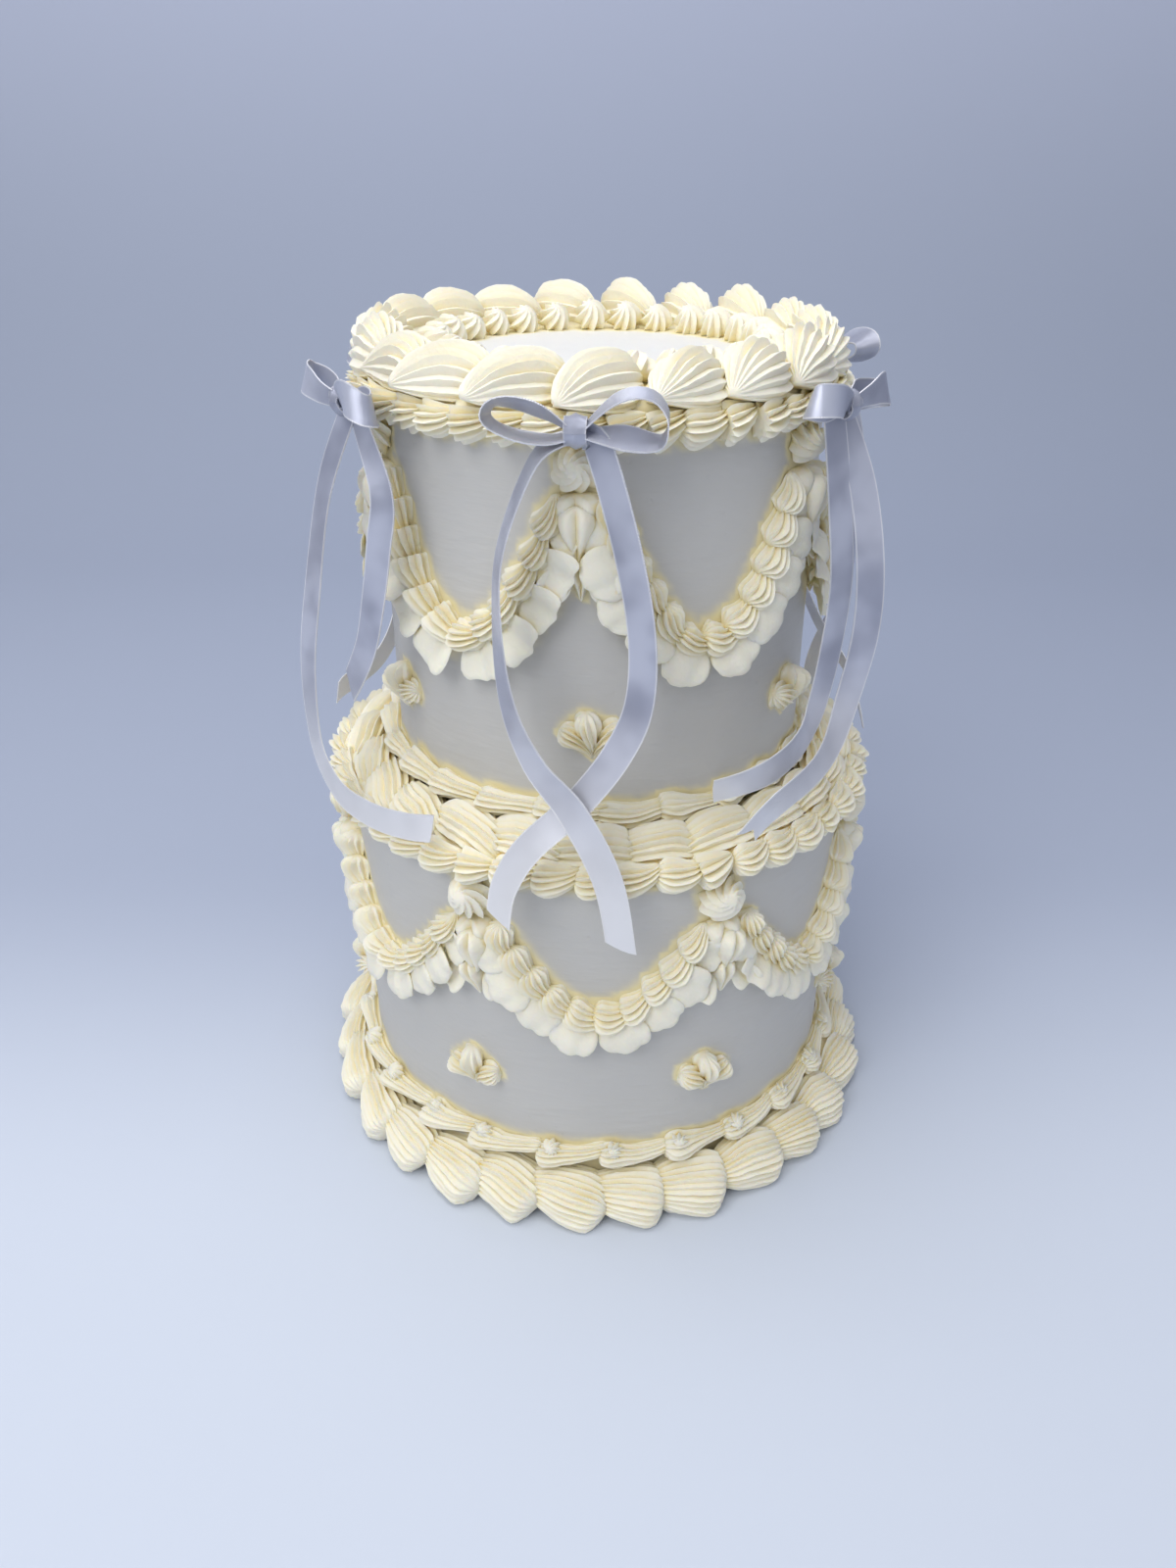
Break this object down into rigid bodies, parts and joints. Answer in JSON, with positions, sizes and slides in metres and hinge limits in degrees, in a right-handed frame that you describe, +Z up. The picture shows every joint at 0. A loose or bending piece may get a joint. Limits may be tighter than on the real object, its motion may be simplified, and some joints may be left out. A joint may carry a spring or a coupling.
{
  "type": "lambeth cake",
  "caption": "Tall two-tier iced cake with piped shell borders, hanging swags with ruffles, small piped flowers and satin ribbon bows.",
  "frame": {"origin": "middle of the cake's flat base", "axes": "+Z up; the front, with the crossed ribbon tails, faces -Y; +X to the right seen from the front"},
  "size_m": [0.2507, 0.2518, 0.3378],
  "materials": {
    "smooth_icing": "smoothed buttercream, matte",
    "piped_icing": "piped buttercream, soft sheen, ivory",
    "satin_ribbon": "satin ribbon, pale lavender white"
  },
  "bodies": {
    "root": {"bottom_tier": "smooth_icing", "top_tier": "smooth_icing", "base_shells": "piped_icing", "base_line": "piped_icing", "shelf_shells": "piped_icing", "shelf_line": "piped_icing", "ledge_shells": "piped_icing", "rim_edge_shells": "piped_icing", "rim_shells": "piped_icing", "rim_curls": "piped_icing", "top_swag_1": "piped_icing", "top_swag_2": "piped_icing", "top_swag_3": "piped_icing", "top_swag_4": "piped_icing", "top_swag_5": "piped_icing", "top_swag_6": "piped_icing", "top_pillar_1": "piped_icing", "top_pillar_2": "piped_icing", "top_pillar_3": "piped_icing", "top_pillar_4": "piped_icing", "top_pillar_5": "piped_icing", "top_pillar_6": "piped_icing", "top_flower_1": "piped_icing", "top_flower_2": "piped_icing", "top_flower_3": "piped_icing", "top_flower_4": "piped_icing", "top_flower_5": "piped_icing", "top_flower_6": "piped_icing", "bottom_swag_1": "piped_icing", "bottom_swag_2": "piped_icing", "bottom_swag_3": "piped_icing", "bottom_swag_4": "piped_icing", "bottom_swag_5": "piped_icing", "bottom_swag_6": "piped_icing", "bottom_swag_7": "piped_icing", "bottom_pillar_1": "piped_icing", "bottom_pillar_2": "piped_icing", "bottom_pillar_3": "piped_icing", "bottom_pillar_4": "piped_icing", "bottom_pillar_5": "piped_icing", "bottom_pillar_6": "piped_icing", "bottom_pillar_7": "piped_icing", "bottom_flower_1": "piped_icing", "bottom_flower_2": "piped_icing", "bottom_flower_3": "piped_icing", "bottom_flower_4": "piped_icing", "bottom_flower_5": "piped_icing", "bottom_flower_6": "piped_icing", "bottom_flower_7": "piped_icing", "ribbon_bow_1": "satin_ribbon", "ribbon_bow_2": "satin_ribbon", "ribbon_bow_3": "satin_ribbon", "ribbon_bow_4": "satin_ribbon", "ribbon_bow_5": "satin_ribbon", "ribbon_bow_6": "satin_ribbon"}
  },
  "joints": []
}
